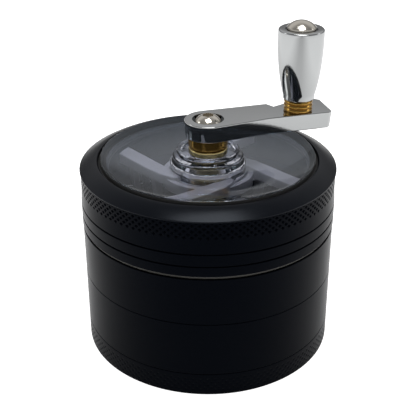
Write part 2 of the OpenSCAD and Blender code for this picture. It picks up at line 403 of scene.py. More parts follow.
def feed(tree, socket, value):
    """Links a socket to an input, or sets the input to a plain value."""
    if isinstance(value, bpy.types.NodeSocket):
        tree.links.new(value, socket)
    else:
        socket.default_value = value


def math_node(tree, operation, *values):
    """A Math node whose inputs are numbers or sockets."""
    node = tree.nodes.new("ShaderNodeMath")
    node.operation = operation
    for socket, value in zip(node.inputs, values):
        feed(tree, socket, value)
    return node.outputs[0]


def map_range(tree, value, from_low, from_high, to_low=0.0, to_high=1.0):
    """A value mapped from one range onto another, and held inside it."""
    node = tree.nodes.new("ShaderNodeMapRange")
    numbers = {"From Min": from_low, "From Max": from_high, "To Min": to_low, "To Max": to_high}
    for label, number in numbers.items():
        node.inputs[label].default_value = number
    tree.links.new(value, node.inputs["Value"])
    return node.outputs[0]


def grain_group():
    """Fine grain and broad smudges: a roughness and a height that vary over the surface."""
    name = "surface_grain"
    if name in bpy.data.node_groups:
        return bpy.data.node_groups[name]
    group, given, out = new_group(
        name,
        [
            ("Vector", "NodeSocketVector", None),
            ("Grain scale", "NodeSocketFloat", 9000.0),
            ("Smudge scale", "NodeSocketFloat", 90.0),
            ("Roughness", "NodeSocketFloat", 0.3),
            ("Spread", "NodeSocketFloat", 0.1),
        ],
        [("Roughness", "NodeSocketFloat"), ("Height", "NodeSocketFloat"), ("Mask", "NodeSocketFloat")],
    )
    noises = {}
    for label, detail in (("Grain scale", 2.0), ("Smudge scale", 5.0)):
        noise = group.nodes.new("ShaderNodeTexNoise")
        noise.inputs["Detail"].default_value = detail
        group.links.new(given.outputs["Vector"], noise.inputs["Vector"])
        group.links.new(given.outputs[label], noise.inputs["Scale"])
        noises[label] = noise.outputs[0]
    swing = math_node(group, "SUBTRACT", noises["Smudge scale"], 0.5)
    varied = math_node(group, "MULTIPLY_ADD", swing, given.outputs["Spread"], given.outputs["Roughness"])
    fine = math_node(group, "SUBTRACT", noises["Grain scale"], 0.5)
    half = math_node(group, "MULTIPLY", given.outputs["Spread"], 0.5)
    group.links.new(math_node(group, "MULTIPLY_ADD", fine, half, varied), out.inputs["Roughness"])
    group.links.new(noises["Grain scale"], out.inputs["Height"])
    group.links.new(noises["Smudge scale"], out.inputs["Mask"])
    return group


def turning_group():
    """Fine rings left by a lathe, about an axis along Z: a height and a mask."""
    name = "turning_marks"
    if name in bpy.data.node_groups:
        return bpy.data.node_groups[name]
    group, given, out = new_group(
        name,
        [("Vector", "NodeSocketVector", None), ("Rings", "NodeSocketFloat", 4000.0)],
        [("Height", "NodeSocketFloat"), ("Mask", "NodeSocketFloat")],
    )
    split = group.nodes.new("ShaderNodeSeparateXYZ")
    group.links.new(given.outputs["Vector"], split.inputs[0])
    square = math_node(group, "MULTIPLY", split.outputs["X"], split.outputs["X"])
    flat = math_node(group, "MULTIPLY_ADD", split.outputs["Y"], split.outputs["Y"], square)
    radius = math_node(group, "SQRT", flat)
    along = math_node(group, "ADD", radius, split.outputs["Z"])
    place = math_node(group, "MULTIPLY", along, given.outputs["Rings"])
    rings = group.nodes.new("ShaderNodeTexNoise")
    rings.noise_dimensions = "1D"
    rings.inputs["Scale"].default_value = 1.0
    rings.inputs["Detail"].default_value = 3.0
    group.links.new(place, rings.inputs["W"])
    group.links.new(rings.outputs[0], out.inputs["Height"])
    group.links.new(rings.outputs[0], out.inputs["Mask"])
    return group


def add_group(tree, group, vector, **values):
    """Places a node group that reads the given coordinates, with its own values."""
    node = tree.nodes.new("ShaderNodeGroup")
    node.node_tree = group
    tree.links.new(vector, node.inputs["Vector"])
    for key, value in values.items():
        node.inputs[key.replace("_", " ")].default_value = value
    return node


def blend_colours(tree, factor, low, high):
    """A colour between two, by a mask."""
    mix = tree.nodes.new("ShaderNodeMix")
    mix.data_type = "RGBA"
    tree.links.new(factor, mix.inputs["Factor"])
    feed(tree, mix.inputs[6], low)
    feed(tree, mix.inputs[7], high)
    return mix.outputs[2]


def bump(tree, height, strength, distance):
    """A normal from a height."""
    node = tree.nodes.new("ShaderNodeBump")
    node.inputs["Strength"].default_value = strength
    node.inputs["Distance"].default_value = distance
    tree.links.new(height, node.inputs["Height"])
    return node.outputs[0]


def shade(colour, factor):
    """An opaque colour, made lighter or darker."""
    return (*(min(1, c * factor) for c in colour), 1)


def finish(name, colour, metallic, rough, spread, grain, marks=0.0, rings=4000.0, tone=0.25, **own):
    """A metal, plastic or rubber finish: grain and smudges in its roughness and colour, a fine bump,
    and lathe rings where marks is above 0. The other values go on the shader's own sockets."""
    if name in bpy.data.materials:
        return bpy.data.materials[name]
    made = bpy.data.materials.new(name)
    made.use_nodes = True
    tree = made.node_tree
    shader = tree.nodes["Principled BSDF"]
    place = tree.nodes.new("ShaderNodeTexCoord").outputs["Object"]
    surface = add_group(tree, grain_group(), place, Roughness=rough, Spread=spread, Grain_scale=grain)
    colours = blend_colours(tree, surface.outputs["Mask"], shade(colour, 1 - tone), shade(colour, 1 + tone))
    tree.links.new(colours, shader.inputs["Base Color"])
    tree.links.new(surface.outputs["Roughness"], shader.inputs["Roughness"])
    height = surface.outputs["Height"]
    if marks:
        turned = add_group(tree, turning_group(), place, Rings=rings)
        height = math_node(tree, "MULTIPLY_ADD", turned.outputs["Height"], marks, height)
    tree.links.new(bump(tree, height, 0.25, 0.01 * MM), shader.inputs["Normal"])
    shader.inputs["Metallic"].default_value = metallic
    for key, value in own.items():
        shader.inputs[key.replace("_", " ")].default_value = value
    return made


def anodised():
    """Dyed aluminium, matt all round."""
    return finish(
        "satin_anodising", bpy.context.scene.grinder_colours.anodised, 0.0, 0.34, 0.06, 7000.0,
        marks=1.2, rings=5200.0, tone=0.15, Specular_IOR_Level=0.035, Specular_Tint=(0.45, 0.62, 1, 1),
        Coat_Weight=1.0, Coat_Roughness=0.2, Coat_IOR=1.06,
    )


def anodised_bezel():
    """Dyed aluminium where it is smoother and bluer."""
    return finish(
        "bezel_anodising", (0.002, 0.0027, 0.0048), 0.0, 0.25, 0.05, 7000.0,
        marks=0.6, rings=5200.0, tone=0.1, Specular_IOR_Level=0.15, Specular_Tint=(0.8, 0.88, 1, 1),
    )


def seam_highlight_finish():
    """Dyed aluminium painted lighter along an edge: a painted highlight for the light that a seam's chamfer
    catches.
    """
    return finish(
        "rubbed_edge", (0.045, 0.044, 0.04), 0.0, 0.4, 0.1, 5000.0, tone=0.35, Specular_IOR_Level=0.3
    )


def chrome():
    colour = bpy.context.scene.grinder_colours.chrome
    return finish("chrome_plate", colour, 1.0, 0.07, 0.05, 2500.0, tone=0.04)


def nickel():
    colour = bpy.context.scene.grinder_colours.nickel
    return finish("nickel_plate", colour, 1.0, 0.14, 0.08, 5000.0, tone=0.06)


def brass():
    colour = bpy.context.scene.grinder_colours.brass
    return finish("turned_brass", colour, 1.0, 0.15, 0.1, 4000.0, marks=2.5, rings=3500.0, tone=0.3)


def pale_brass():
    colour = (0.46, 0.38, 0.18)
    return finish("pale_brass", colour, 1.0, 0.2, 0.1, 4000.0, marks=2.0, rings=3500.0, tone=0.2)


def alloy():
    colour = bpy.context.scene.grinder_colours.alloy
    return finish("cast_alloy", colour, 0.35, 0.42, 0.1, 3000.0, tone=0.08)


def steel():
    return finish("turned_steel", (0.42, 0.42, 0.44), 1.0, 0.3, 0.1, 4000.0, marks=2.0)


def blackened():
    return finish("blackened_steel", (0.012, 0.012, 0.013), 0.0, 0.4, 0.1, 5000.0, Specular_IOR_Level=0.2)


def wire_steel():
    return finish("wire_steel", (0.26, 0.26, 0.27), 1.0, 0.28, 0.1, 9000.0)


def nylon():
    return finish("white_nylon", (0.78, 0.78, 0.74), 0.0, 0.45, 0.1, 5000.0, tone=0.05)


def rubber():
    return finish("black_rubber", (0.002, 0.002, 0.0025), 0.0, 0.6, 0.1, 8000.0, Specular_IOR_Level=0.08)


def acrylic():
    """Clear plastic, very slightly wavy, which lets lamp light reach what is behind it."""
    name = "clear_window"
    if name in bpy.data.materials:
        return bpy.data.materials[name]
    made = bpy.data.materials.new(name)
    made.use_nodes = True
    tree = made.node_tree
    shader = tree.nodes["Principled BSDF"]
    shader.inputs["Base Color"].default_value = (*bpy.context.scene.grinder_colours.acrylic, 1)
    shader.inputs["Transmission Weight"].default_value = 1.0
    shader.inputs["IOR"].default_value = 1.49
    shader.inputs["Specular Tint"].default_value = (0.62, 0.8, 1, 1)
    place = tree.nodes.new("ShaderNodeTexCoord").outputs["Object"]
    surface = add_group(tree, grain_group(), place, Roughness=0.012, Spread=0.012, Grain_scale=2500.0)
    tree.links.new(surface.outputs["Roughness"], shader.inputs["Roughness"])
    tree.links.new(bump(tree, surface.outputs["Mask"], 0.02, 0.004 * MM), shader.inputs["Normal"])
    clear = tree.nodes.new("ShaderNodeBsdfTransparent")
    clear.inputs["Color"].default_value = (*bpy.context.scene.grinder_colours.acrylic, 1)
    path = tree.nodes.new("ShaderNodeLightPath")
    mix = tree.nodes.new("ShaderNodeMixShader")
    tree.links.new(path.outputs["Is Shadow Ray"], mix.inputs[0])
    tree.links.new(shader.outputs[0], mix.inputs[1])
    tree.links.new(clear.outputs[0], mix.inputs[2])
    tree.links.new(mix.outputs[0], tree.nodes["Material Output"].inputs["Surface"])
    return made


# ---------------------------------------------------------------- operators


class GRINDER_OT_stage(bpy.types.Operator):
    """Adds the floor, the light and the camera"""

    bl_idname = "grinder.stage"
    bl_label = "Stage"

    def floor(self):
        """White paper that glows a little, more so towards the sides, and that the camera sees pure white."""
        floor = start("floor", bpy.ops.mesh.primitive_plane_add, size=6)
        bpy.ops.mesh.subdivide(number_cuts=3)
        bpy.ops.object.mode_set(mode="OBJECT")
        paper = bpy.data.materials.new("pale_paper")
        paper.use_nodes = True
        tree = paper.node_tree
        shader = tree.nodes["Principled BSDF"]
        shader.inputs["Base Color"].default_value = (0.9, 0.9, 0.9, 1)
        shader.inputs["Roughness"].default_value = 0.9
        shader.inputs["Specular IOR Level"].default_value = 0.1
        shader.inputs["Emission Color"].default_value = (1, 1, 1, 1)
        split = tree.nodes.new("ShaderNodeSeparateXYZ")
        tree.links.new(tree.nodes.new("ShaderNodeTexCoord").outputs["Object"], split.inputs[0])
        aside = math_node(tree, "ABSOLUTE", split.outputs["X"])
        side = map_range(tree, aside, 0.03, 0.16, 0.15, 0.62)
        seen = tree.nodes.new("ShaderNodeLightPath").outputs["Is Camera Ray"]
        glow = math_node(tree, "MAXIMUM", side, seen)
        tree.links.new(glow, shader.inputs["Emission Strength"])
        floor.data.materials.append(paper)

    def sky(self):
        """White at the horizon in front and dark above, and the other way round behind."""
        world = bpy.data.worlds.new("studio")
        bpy.context.scene.world = world
        world.use_nodes = True
        tree = world.node_tree
        split = tree.nodes.new("ShaderNodeSeparateXYZ")
        tree.links.new(tree.nodes.new("ShaderNodeTexCoord").outputs["Generated"], split.inputs[0])
        front_levels = ((0.0, 1.0), (0.18, 0.95), (0.42, 0.42), (0.7, 0.22), (1.0, 0.3))
        back_levels = ((0.0, 0.5), (0.1, 0.2), (0.25, 0.24), (0.44, 0.62), (0.75, 0.62), (1.0, 0.3))
        front = self.wall(tree, split, front_levels)
        back = self.wall(tree, split, back_levels)
        both = blend_colours(tree, map_range(tree, split.outputs["Y"], 0.1, 0.5), front, back)
        seen = tree.nodes.new("ShaderNodeLightPath").outputs["Is Camera Ray"]
        tree.links.new(blend_colours(tree, seen, both, (1, 1, 1, 1)), tree.nodes["Background"].inputs[0])
        tree.nodes["Background"].inputs[1].default_value = 1.0

    def wall(self, tree, split, stops):
        """Brightness by height, from the horizon at 0 to straight up at 1."""
        ramp = tree.nodes.new("ShaderNodeValToRGB")
        ramp.color_ramp.interpolation = "EASE"
        while len(ramp.color_ramp.elements) < len(stops):
            ramp.color_ramp.elements.new(0.5)
        for element, (place, level) in zip(ramp.color_ramp.elements, stops):
            element.position = place
            element.color = (level, level, level * 1.01, 1)
        tree.links.new(split.outputs["Z"], ramp.inputs[0])
        return ramp.outputs[0]

    def lamp(self, name, size, power, place):
        """A square lamp that shines at the foot of the axis."""
        light = bpy.data.lights.new(name, "AREA")
        light.size = size
        light.energy = power
        lamp = bpy.data.objects.new(name, light)
        bpy.context.scene.collection.objects.link(lamp)
        lamp.location = place
        lamp.rotation_euler = (-Vector(place)).to_track_quat("-Z", "Y").to_euler()

    def camera(self, stage):
        """A camera in front that looks down at the axis."""
        camera = bpy.data.objects.new("camera", bpy.data.cameras.new("camera"))
        bpy.context.scene.collection.objects.link(camera)
        bpy.context.scene.camera = camera
        camera.data.sensor_width = 36
        camera.data.lens = stage.camera_lens
        camera.data.clip_start = 0.01
        away, tilt = stage.camera_distance, stage.camera_tilt
        camera.location = (0, -away * math.cos(tilt), stage.camera_aim + away * math.sin(tilt))
        camera.rotation_euler = (math.pi / 2 - tilt, 0, 0)

    def execute(self, context):
        stage = context.scene.grinder_stage
        self.floor()
        self.sky()
        self.lamp("softbox", 0.25, stage.softbox_power, (0.02, -0.04, 0.55))
        for side in (-1, 1):
            self.lamp(f"side_lamp_{side + 1}", 0.12, stage.softbox_power * 0.1, (side * 0.42, 0.08, 0.34))
        self.camera(stage)
        context.scene.view_settings.view_transform = "Standard"
        return {"FINISHED"}


class GRINDER_OT_tray(bpy.types.Operator):
    """Turns the bottom tray and knurls its side"""

    bl_idname = "grinder.tray"
    bl_label = "Tray"

    def execute(self, context):
        sizes = context.scene.grinder_sizes
        r, rim = reach("kief_tray"), top("kief_tray")
        bore = reach("sifter_chamber") - WALL
        floor = 1.6
        levels = band_levels(0.9, rim - 0.7, 3)
        outline = [(0, 0), (r - 0.4, 0), (r, 0.4)] + [(r, z) for z in levels]
        outline += [(r, rim - SEAM_EDGE), (r - SEAM_EDGE, rim), (bore, rim)]
        outline += [(bore, floor + 1.2), (bore - 1.2, floor), (0, floor)]
        tray = lathe("tray", outline)
        soften(tray, sizes.edge_round)
        knurl(tray, levels[0], levels[-1], r, sizes.knurl_land * 1.2, sizes.knurl_depth * 0.5)
        polish(tray, 30)
        hand_over(tray, "tray", "anodised_black", anodised(), "kief_tray")
        return {"FINISHED"}


def thread(name, radius, low, high, pitch):
    """A raised helical ridge with closed ends round a skirt."""
    turns = (high - low - pitch) / pitch
    piece = start(name, bpy.ops.mesh.primitive_plane_add, size=MM)
    ridge = [(-0.25, -0.35), (THREAD_RISE, -0.08), (THREAD_RISE, 0.08), (-0.25, 0.35)]
    trace([Vector((radius + x, 0, low + pitch / 2 + z * pitch)) * MM for x, z in ridge], close=True)
    bpy.ops.object.mode_set(mode="OBJECT")
    apply(
        piece, "SCREW", axis="Z", angle=turns * math.tau, screw_offset=turns * pitch * MM,
        steps=round(turns * 64), render_steps=round(turns * 64), use_merge_vertices=False,
    )
    bpy.ops.object.mode_set(mode="EDIT")
    bpy.ops.mesh.select_all(action="SELECT")
    bpy.ops.mesh.fill_holes(sides=4)
    return close_up(piece)


def grooved_bore(bore, low, high, pitch):
    """Outline of a threaded bore, from its upper edge down to its lower one."""
    points = [(bore, high)]
    level = high - 0.6
    while level - pitch > low:
        points += [(bore, level), (bore + 0.22, level - pitch * 0.35), (bore, level - pitch * 0.7)]
        level -= pitch
    return points + [(bore, low)]


class GRINDER_OT_sifter(bpy.types.Operator):
    """Turns the sifting chamber with its thread, and weaves its sieve"""

    bl_idname = "grinder.sifter"
    bl_label = "Sifting chamber"

    def chamber(self, sizes):
        r, rim, skirt_z = reach("sifter_chamber"), top("sifter_chamber"), foot("sifter_chamber")
        seat = top("sifter_screen")
        seam = top("kief_tray") + SEAM_GAP
        bore = r - WALL
        skirt, inner, ledge = bore - SKIRT_GAP, reach("sifter_screen"), 25.2
        pitch = sizes.thread_pitch / MM
        outline = [(inner, skirt_z), (skirt, skirt_z), (skirt, seam), (r - SEAM_EDGE, seam)]
        outline += [(r, seam + SEAM_EDGE), (r, rim - SEAM_EDGE), (r - SEAM_EDGE, rim)]
        outline += grooved_bore(bore, rim - 4.3, rim, pitch)
        outline += [(bore - 1.2, rim - 5.5), (bore - 1.2, seat + 1.4), (ledge, seat + 1.2)]
        outline += [(ledge, seat), (inner, seat)]
        chamber = lathe("sifter_body", outline)
        soften(chamber, sizes.edge_round)
        ridge = thread("sifter_thread", skirt, skirt_z, seam, pitch)
        polish(chamber)
        polish(ridge)
        return join("sifter_body", [chamber, ridge])

    def sieve(self, sizes):
        """Wavy wires, over and under in both directions, trimmed to a disc under the ledge."""
        pitch = sizes.screen_pitch / MM
        radius = reach("sifter_screen") - 0.3
        low, high = foot("sifter_screen"), top("sifter_screen")
        wire = wave = (high - low) / 4
        count = math.ceil(radius / pitch / 2) + 1
        first = start("wire", bpy.ops.mesh.primitive_circle_add, vertices=4, radius=wire * MM)
        bpy.ops.transform.rotate(value=math.pi / 2, orient_axis="Y", center_override=(0, 0, 0))
        bpy.ops.transform.translate(value=Vector((0, 0, -wave)) * MM)
        for lift in (2, -2):
            step = {"value": Vector((pitch, 0, lift * wave)) * MM}
            bpy.ops.mesh.extrude_region_move(TRANSFORM_OT_translate=step)
        bpy.ops.object.mode_set(mode="OBJECT")
        self.row(first, 2 * count, (2 * pitch, 0, 0))
        pair = join("wire", [first, copy_turned(first, 0, Vector((pitch, pitch, 0)) * MM)])
        self.row(pair, 2 * count, (0, 2 * pitch, 0))
        move(pair, (-2 * count * pitch, -2 * count * pitch, 0))

        def outside(vertex):
            row = round(vertex.co.y / MM / pitch) * pitch
            return math.hypot(vertex.co.x / MM, row) > radius

        bpy.ops.object.mode_set(mode="EDIT")
        pick(pair, "VERT", outside)
        bpy.ops.mesh.delete(type="VERT")
        bpy.ops.mesh.select_all(action="SELECT")
        bpy.ops.mesh.fill_holes(sides=4)
        close_up(pair)
        across = copy_turned(pair, math.pi / 2, flip=True)
        return move(join("sifter_mesh", [pair, across]), (0, 0, (low + high) / 2))

    def row(self, piece, count, offset):
        """Repeats a mesh in a row, welded where its copies meet."""
        return apply(
            piece, "ARRAY", count=count, use_relative_offset=False, use_constant_offset=True,
            constant_offset_displace=Vector(offset) * MM, use_merge_vertices=True, merge_threshold=MM / 500,
        )

    def execute(self, context):
        sizes = context.scene.grinder_sizes
        hand_over(self.chamber(sizes), "sifter", "anodised_black", anodised(), "sifter_chamber")
        woven = self.sieve(sizes)
        hand_over(woven, "sifter", "screen_steel", wire_steel(), "sifter_screen")
        dress("screen_ring", steel())
        return {"FINISHED"}


class GRINDER_OT_grinding(bpy.types.Operator):
    """Turns the grinding chamber, drills its floor and sets its teeth"""

    bl_idname = "grinder.grinding"
    bl_label = "Grinding chamber"

    def execute(self, context):
        sizes = context.scene.grinder_sizes
        r, rim, skirt_z = reach("grinding_chamber"), top("grinding_chamber"), foot("grinding_chamber")
        seam = top("sifter_chamber") + SEAM_GAP
        slip = foot("slip_ring")
        plate, floor = seam + 1.29, seam + 4.19
        skirt = r - WALL - SKIRT_GAP
        inner, bore = skirt - 1.2, reach("slip_ring") + 0.1
        outline = [(0, plate), (inner, plate), (inner, skirt_z), (skirt, skirt_z), (skirt, seam)]
        outline += [(r - SEAM_EDGE, seam), (r, seam + SEAM_EDGE), (r, rim - SEAM_EDGE)]
        outline += [(r - SEAM_EDGE, rim), (bore, rim), (bore, slip), (SPIGOT_BORE, slip)]
        outline += [(SPIGOT_BORE, floor), (0, floor)]
        chamber = lathe("grinding_body", outline)
        drills = []
        for radius, count in ((12.6, 8), (20.4, 16)):
            for i in range(count):
                a = (i + 0.5) * math.tau / count
                at = (radius * math.cos(a), radius * math.sin(a))
                drills.append(rod("drill", 1.9, plate - 1, floor + 1, 20, at))
        cut(chamber, join("drills", drills))
        soften(chamber, sizes.edge_round)
        teeth = []
        for radius, count in ((8.6, 4), (16.5, 8), (24.2, 12)):
            first = tooth(radius, floor - 0.3, top("grinding_teeth"), up=True)
            teeth += [copy_turned(first, (i + 0.5) * math.tau / count) for i in range(count)]
            bpy.data.objects.remove(first)
        ridge = thread("grinding_thread", skirt, skirt_z, seam, sizes.thread_pitch / MM)
        for part in (chamber, ridge):
            polish(part)
        body = join("grinding_body", [chamber, ridge, *teeth])
        solids = ("grinding_chamber", "grinding_floor", "grinding_teeth")
        hand_over(body, "grinding", "anodised_black", anodised(), *solids)
        dress("slip_ring", nylon())
        return {"FINISHED"}


def tooth(radius, low, high, up):
    """A diamond tooth that narrows a little towards its free end."""
    piece = rod("tooth", 1.5, low, high, 4, (radius, 0))
    bpy.ops.object.mode_set(mode="EDIT")
    tip = high if up else low
    pick(piece, "FACE", lambda face: abs(face.calc_center_median().z / MM - tip) < 0.01)
    centre = Vector((radius, 0, tip)) * MM
    bpy.ops.transform.resize(value=(0.82, 0.82, 1), center_override=centre)
    close_up(piece)
    soften(piece, 0.22 * MM, segments=2)
    polish(piece, 50)
    return piece


class GRINDER_OT_lid(bpy.types.Operator):
    """Turns the lid ring, with its knurled band, its two grooves and its bezel"""

    bl_idname = "grinder.lid"
    bl_label = "Lid ring"

    def execute(self, context):
        sizes = context.scene.grinder_sizes
        r, crest, spigot_z = reach("lid_ring"), top("lid_ring"), foot("lid_ring")
        seam = top("grinding_chamber") + 0.2
        brow = crest - 1.8
        band_top = brow - 0.35
        lip, reveal = foot("window_seal"), reach("window_seal")
        snap_low, snap_high = foot("window_retainer"), top("window_retainer")
        snap_r = reach("window_retainer")
        bore, spigot_in, spigot_out = snap_r - 0.5, SPIGOT_BORE, reach("slip_ring") - 0.25
        levels = band_levels(band_top - sizes.knurl_height / MM, band_top, sizes.knurl_rows)
        sunk = r - 0.4
        outline = [(spigot_in, spigot_z), (spigot_out, spigot_z), (spigot_out, seam), (sunk, seam)]
        outline += [(r, seam + 0.7)]
        for rise in (3.2, 6.3):
            groove = seam + rise
            outline += [(r, groove - 0.22), (sunk, groove - 0.1), (sunk, groove + 0.1), (r, groove + 0.22)]
        outline += [(r - 0.2, z) for z in levels]
        outline += bezel(r, brow, reveal, crest)
        outline += [(reveal, lip), (bore, lip), (bore, snap_high), (snap_r, snap_high), (snap_r, snap_low)]
        outline += [(bore, snap_low), (bore, seam + 3), (spigot_in, seam + 1.2)]
        ring = lathe("lid_body", outline)
        soften(ring, sizes.edge_round * 0.7)
        knurl(ring, levels[0], levels[-1], r - 0.2, sizes.knurl_land, sizes.knurl_depth)
        polish(ring, 25)
        hand_over(ring, "lid", "anodised_black", anodised(), "lid_ring")
        coat(ring, anodised_bezel(), lambda middle: middle.z > band_top)

        def at_seam(middle):
            return seam + 0.05 < middle.z < seam + 0.6 and middle.xy.length > sunk

        # Painted highlight: the chamfer just above the seam gets a lighter finish in place of the bright line
        # of light it catches.
        coat(ring, seam_highlight_finish(), at_seam)
        return {"FINISHED"}


def bezel(r, brow, reveal, crest):
    """Outline of the bezel: a rounded brow, then a slope that flattens towards the window."""
    points = [(r, brow - 0.3)] + arc((r - 0.15, brow - 0.15), 0.15, 0, 60, 3)
    start_r, start_z = points[-1]
    steps = 8
    for i in range(1, steps + 1):
        t = i / steps
        rise = (crest - start_z) * (1 - (1 - t) ** 1.35)
        points.append((start_r + (reveal + 0.25 - start_r) * t, start_z + rise))
    return points + [(reveal, crest - 0.25)]


class GRINDER_OT_window(bpy.types.Operator):
    """Turns the clear window with its stepped boss, and finishes the pieces round it"""

    bl_idname = "grinder.window"
    bl_label = "Window"

    def execute(self, context):
        flange, boss_top, boss_base = reach("window"), top("window"), foot("window")
        lip, inner = foot("window_seal"), 26.3
        rim = boss_top - 1.4
        thick, dish, foot_r = 2.8, 1.9, 9.3
        bush, cup, shelf = 4.5, 6.3, 25.4
        boss_r, slope = 9.5, 15.7
        flange_z, rest_z = lip - 1.35, lip - 0.05

        def dish_z(radius):
            return rim - dish * (1 - (radius / inner) ** 4)

        under = [foot_r + (shelf - foot_r) * i / 10 for i in range(11)]
        outline = [(bush, boss_base), (foot_r, boss_base)]
        outline += [(radius, dish_z(radius) - thick) for radius in under]
        outline += [(shelf, flange_z), (flange, flange_z), (flange, rest_z), (inner, rest_z)]
        outline += arc((inner - 0.15, rim - 0.15), 0.15, 0, 85, 3)
        face = [boss_r + slope * i / 12 for i in range(12, -1, -1)]
        outline += [(radius, dish_z(radius)) for radius in face]
        outline += arc((boss_r, dish_z(boss_r) + 0.7), 0.7, 262, 200, 5)
        outline += arc((8.2, boss_top - 1.85), 0.5, -70, 80, 6)
        outline += [(7.45, boss_top - 1.25), (7.4, boss_top - 0.85)]
        outline += arc((7.45, boss_top - 0.35), 0.35, -70, 85, 5)
        outline += [(cup + 0.5, boss_top), (cup, boss_top - 0.9), (bush, boss_top - 0.9)]
        pane = lathe("window_pane", outline, 144)
        polish(pane, 30)
        hand_over(pane, "lid", "clear_acrylic", acrylic(), "window")
        coat(pane, rubber(), lambda middle: middle.xy.length > inner - 0.05 and middle.z < rim - 0.2)
        seal_in, seal_out, seal_top = inner + 0.02, reach("window_seal") - 0.02, top("window_seal")
        seal = lathe("window_gasket", [
            (seal_in, lip), (seal_out, lip), (seal_out, seal_top), (seal_in, seal_top),
        ])
        soften(seal, 0.25 * MM, segments=3)
        polish(seal)
        hand_over(seal, "lid", "black_rubber", rubber(), "window_seal")
        dress("window_retainer", blackened())
        low, seat, high = boss_base, boss_top - 0.88, top("bearing_bush")
        r, side, hole = reach("bearing_bush") - 0.4, bush - 0.02, 3.06
        sleeve = lathe("boss_bush", [
            (hole, low), (side, low), (side, seat), (r, seat), (r, high - 0.2),
            (r - 0.2, high), (3.3, high), (hole, high - 0.24),
        ])
        soften(sleeve, 0.1 * MM)
        polish(sleeve)
        hand_over(sleeve, "lid", "brass", pale_brass(), "bearing_bush")
        return {"FINISHED"}


class GRINDER_OT_arm(bpy.types.Operator):
    """Cuts the crank arm from plate, and turns the spacer under it"""

    bl_idname = "grinder.arm"
    bl_label = "Crank arm"

    def execute(self, context):
        low, high = foot("crank_arm"), top("crank_arm")
        hub, front, tip = 5.75, -3.65, THROW + 7.9
        outline = arc((0, 0), hub, 90, 280, 40)
        outline += [(THROW - 8.6, front - 0.1), (tip - 0.8, front), (tip, front + 0.8), (tip, 5.2)]
        outline += [(tip - 1.3, 6.4), (THROW - 1.6, 5.2), (THROW - 5, 3.8), (THROW - 6.2, 6)]
        arm = prism("arm_plate", outline, low, high)
        bpy.ops.object.mode_set(mode="EDIT")
        pick(arm, "FACE", lambda face: face.calc_center_median().z / MM < low + 0.01)
        bpy.ops.transform.resize(value=(0.985, 0.95, 1), center_override=(THROW * 0.4 * MM, 0, low * MM))
        bpy.ops.object.mode_set(mode="OBJECT")
        soften(arm, 0.28 * MM, segments=3, angle=40)
        cut(arm, rod("hub_bore", 2.4, low - 1, high + 1, 48))
        cut(arm, rod("counterbore", 3.85, high - HEAD_SINK, high + 1, 64))
        cut(arm, rod("knob_bore", 2, low - 1, high + 1, 48, (THROW, 0)))
        polish(turn(arm, ARM_ANGLE), 32)
        hand_over(arm, "crank", "chrome", chrome(), "crank_arm")
        r, base, upper = reach("crank_spacer"), foot("crank_spacer"), top("crank_spacer")
        collar = lathe("spacer_collar", [
            (3, base), (r - 0.35, base), (r, base + 0.35), (r, upper - 0.12), (r - 0.12, upper), (3, upper),
        ], 96)
        soften(collar, 0.08 * MM)
        polish(collar)
        hand_over(collar, "crank", "brass", brass(), "crank_spacer")
        return {"FINISHED"}


def dome(radius, low, side, high, steps=12):
    """Outline of a domed screw head from its underside's edge to its crown."""
    rise = high - low - side
    ball = (radius * radius + rise * rise) / (2 * rise)
    half = math.degrees(math.asin(radius / ball))
    return [(radius - 0.1, low), (radius, low + 0.1)] + [
        (0 if i == steps else ball * math.sin(math.radians(half * (1 - i / steps))),
         high - ball + ball * math.cos(math.radians(half * (1 - i / steps))))
        for i in range(steps + 1)
    ]


class GRINDER_OT_screws(bpy.types.Operator):
    """Turns the two domed screws and cuts the hub screw's socket"""

    bl_idname = "grinder.screws"
    bl_label = "Screws"

    def screw(self, name, head_r, shank_r, low, seat, crown, side, socket, at=(0, 0, 0)):
        """A screw whose head has an upright side and a dome. A socket of radius 0 is left out."""
        outline = [(0, low), (shank_r - 0.2, low), (shank_r, low + 0.2), (shank_r, seat)]
        piece = lathe(name, outline + dome(head_r, seat, side, crown), 64)
        if socket:
            cut(piece, rod("socket", socket, crown - 1.4, crown + 1, 6))
            soften(piece, 0.06 * MM, angle=50)
        polish(piece, 40)
        return move(piece, at)

    def execute(self, context):
        seat = top("crank_arm") - HEAD_SINK
        crown = top("crank_arm") + 1.2
        hub = self.screw("hub_screw", 3.25, 1.5, foot("crank_screw"), seat, crown, 1.2, 1.45)
        hand_over(hub, "crank", "nickel_screw", nickel(), "crank_screw")
        seat, crown = top("knob_washer"), top("knob_screw")
        axle = self.screw("knob_axle", 3.5, 2, foot("knob_screw"), seat, crown, 0.9, 0, knob_axis())
        hand_over(axle, "crank", "nickel_screw", nickel(), "knob_screw")
        dress("knob_washer", nickel())
        dress("rotor_screw", nickel())
        dress("rotor_washer", nickel())
        return {"FINISHED"}


